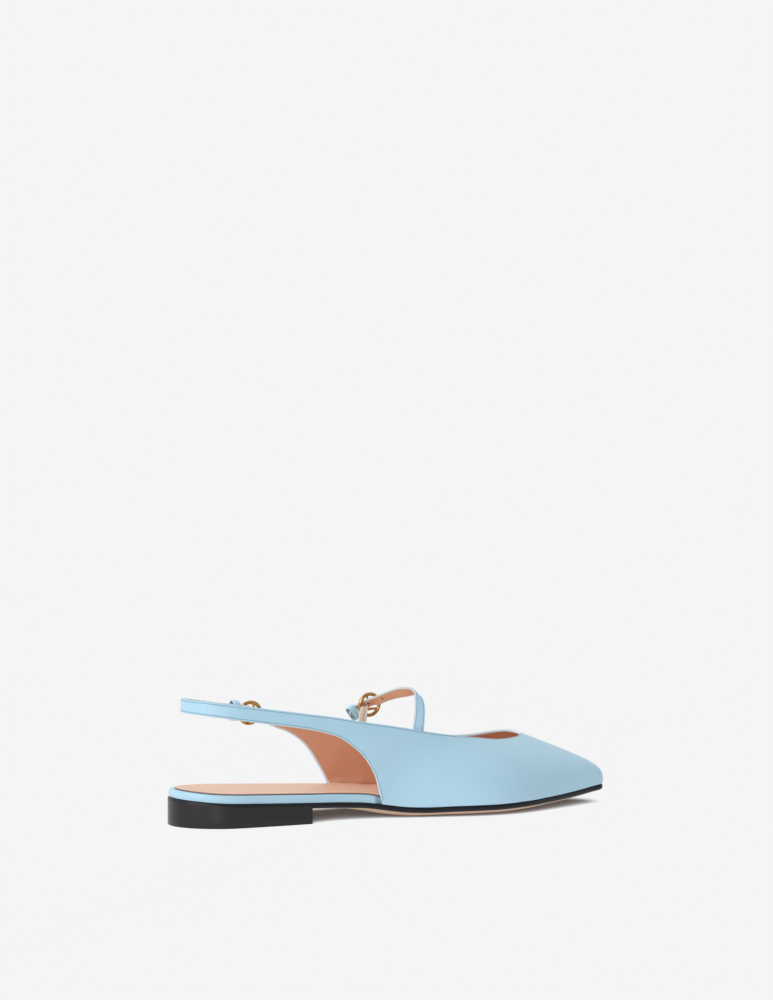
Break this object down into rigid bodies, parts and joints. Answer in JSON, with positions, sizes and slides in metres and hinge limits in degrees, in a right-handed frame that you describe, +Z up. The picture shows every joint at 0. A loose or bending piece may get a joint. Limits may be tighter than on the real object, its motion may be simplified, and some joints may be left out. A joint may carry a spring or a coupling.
{
  "type": "slingback ballet flat",
  "caption": "Left slingback ballet flat with a slim squared toe, thin sole, low block heel, buckled heel strap and buckled strap over the instep.",
  "frame": {"origin": "on the floor under the middle of the shoe's box", "axes": "+X towards the toe, +Y towards the outer side of the foot, +Z up"},
  "size_m": [0.2604, 0.0772, 0.0717],
  "materials": {
    "sole_edge": "black satin edge, tan leather tread",
    "heel_block": "black satin lacquer",
    "insole_cover": "smooth, semi-gloss",
    "sock": "smooth lining leather",
    "upper_leather": "smooth, semi-gloss",
    "strap_leather": "smooth, semi-gloss",
    "elastic": "ribbed woven elastic",
    "gold": "polished gold plate"
  },
  "bodies": {
    "root": {"outsole": "sole_edge", "heel": "heel_block", "covered_insole": "insole_cover", "sock_lining": "sock", "upper": "upper_leather", "instep_strap": "strap_leather", "instep_tab": "elastic", "instep_buckle": "gold", "instep_prong": "gold", "instep_keeper": "strap_leather", "sling_buckle": "gold", "sling_prong": "gold", "sling_keeper": "strap_leather"}
  },
  "joints": []
}
